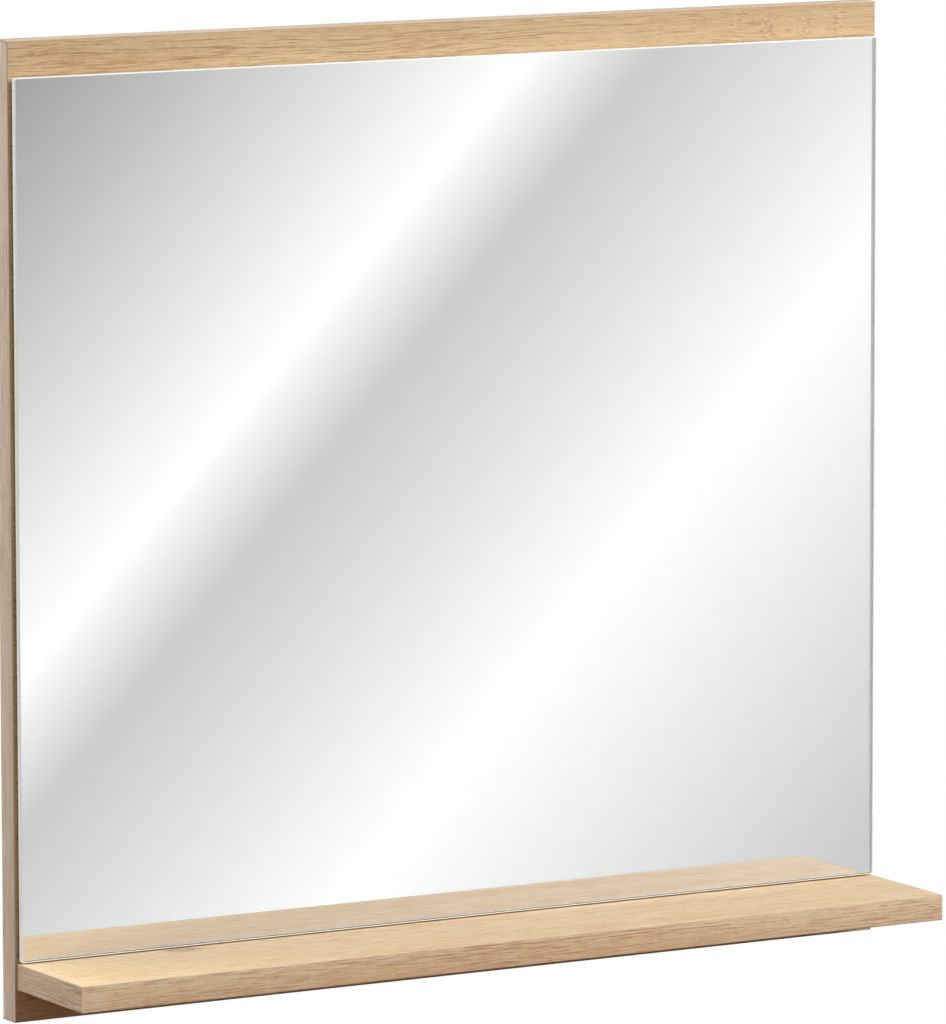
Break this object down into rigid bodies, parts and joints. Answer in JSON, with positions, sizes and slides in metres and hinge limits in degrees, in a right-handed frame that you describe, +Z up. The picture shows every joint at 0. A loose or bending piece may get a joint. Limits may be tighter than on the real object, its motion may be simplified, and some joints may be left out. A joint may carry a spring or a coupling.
{
  "type": "mirror with shelf",
  "caption": "Wall-hung oak-decor board with a frameless rectangular mirror glued on its face and a narrow shelf of the same board standing out below the glass; keyhole hangers on the back.",
  "frame": {"origin": "on the wall plane, midway between the two wall screws that the part hangs on, at the upper ends of the keyhole slots", "axes": "+X to the right as seen from the front, +Y into the wall, +Z up; the mirror and the shelf face -Y"},
  "size_m": [0.6, 0.1021, 0.582],
  "materials": {
    "oak_decor": "matt wood-grain decor",
    "oak_edge_band": "satin wood-grain edge band",
    "mirror_glass": "clear polished float glass",
    "mirror_silver": "silvered face, painted back",
    "foam_tape": "matt closed-cell foam",
    "mirror_adhesive": "cured adhesive bead",
    "connector_steel": "yellow zinc plated",
    "beech_dowel": "raw beech",
    "hanger_steel": "bright zinc plated",
    "bumper_rubber": "soft satin bumper"
  },
  "bodies": {
    "root": {"panel_core": "oak_decor", "panel_band_top": "oak_edge_band", "panel_band_bottom": "oak_edge_band", "panel_band_left": "oak_edge_band", "panel_band_right": "oak_edge_band", "shelf_core": "oak_decor", "shelf_band_front": "oak_edge_band", "shelf_band_left": "oak_edge_band", "shelf_band_right": "oak_edge_band", "mirror_glass": "mirror_glass", "mirror_silvering": "mirror_silver", "mirror_tape_1": "foam_tape", "mirror_tape_2": "foam_tape", "mirror_tape_3": "foam_tape", "mirror_tape_4": "foam_tape", "mirror_adhesive_1": "mirror_adhesive", "mirror_adhesive_2": "mirror_adhesive", "mirror_adhesive_3": "mirror_adhesive", "confirmat_screw_1": "connector_steel", "confirmat_screw_2": "connector_steel", "confirmat_screw_3": "connector_steel", "shelf_dowel_1": "beech_dowel", "shelf_dowel_2": "beech_dowel", "hanger_plate_left": "hanger_steel", "hanger_plate_right": "hanger_steel", "hanger_screw_left_1": "hanger_steel", "hanger_screw_left_2": "hanger_steel", "hanger_screw_right_1": "hanger_steel", "hanger_screw_right_2": "hanger_steel", "wall_bumper_left": "bumper_rubber", "wall_bumper_right": "bumper_rubber"}
  },
  "joints": []
}
